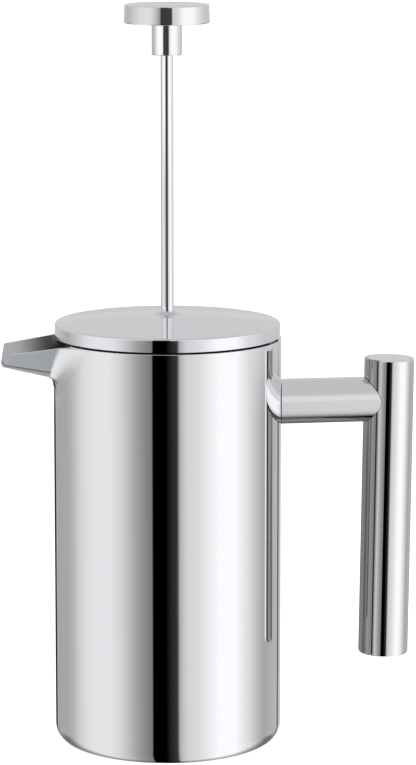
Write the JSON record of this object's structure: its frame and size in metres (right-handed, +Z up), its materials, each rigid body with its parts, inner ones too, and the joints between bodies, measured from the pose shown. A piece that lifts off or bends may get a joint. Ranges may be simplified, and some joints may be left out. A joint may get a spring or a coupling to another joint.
{
  "type": "french press",
  "caption": "Cylindrical double-wall steel french press with a folded spout, a tube handle, a domed lid and a plunger with a disc knob, all mirror-polished.",
  "frame": {"origin": "on the table, on the pot's axis, at the underside of the base plate", "axes": "+Z up along the pot and the plunger, +X towards the handle, -X towards the spout"},
  "size_m": [0.1927, 0.105, 0.3436],
  "materials": {
    "polished_steel": "mirror-polished stainless steel",
    "satin_steel": "satin stainless steel",
    "woven_steel": "fine woven stainless wire"
  },
  "bodies": {
    "pot": {"outer_shell": "polished_steel", "inner_pot": "satin_steel", "base_plate": "polished_steel", "spout": "polished_steel", "handle_arm": "polished_steel", "grip_tube": "polished_steel", "grip_top_cap": "polished_steel", "grip_bottom_cap": "polished_steel"},
    "lid": {"lid_cover": "polished_steel", "lid_pan": "satin_steel"},
    "guide_bush": {"rod_guide_bush": "polished_steel", "bush_lock_nut": "satin_steel"},
    "plunger": {"knob_disc": "polished_steel", "knob_collar": "polished_steel", "plunger_rod": "polished_steel", "filter_top_plate": "satin_steel", "filter_coarse_mesh": "woven_steel", "filter_fine_mesh": "woven_steel", "filter_spring": "satin_steel", "filter_cross_plate": "satin_steel", "filter_hub_nut": "satin_steel"}
  },
  "joints": [
    {"name": "lid_lift", "type": "slide", "parent": "pot", "child": "lid", "axis": [0, 0, 1], "range_m": [0, 0.2]},
    {"name": "plunger_turn", "type": "hinge", "parent": "lid", "child": "guide_bush", "pos_m": [0, 0, 0.19], "axis": [0, 0, 1], "continuous": true},
    {"name": "plunger_slide", "type": "slide", "parent": "guide_bush", "child": "plunger", "axis": [0, 0, 1], "range_m": [-0.1175, 0.0295]}
  ]
}
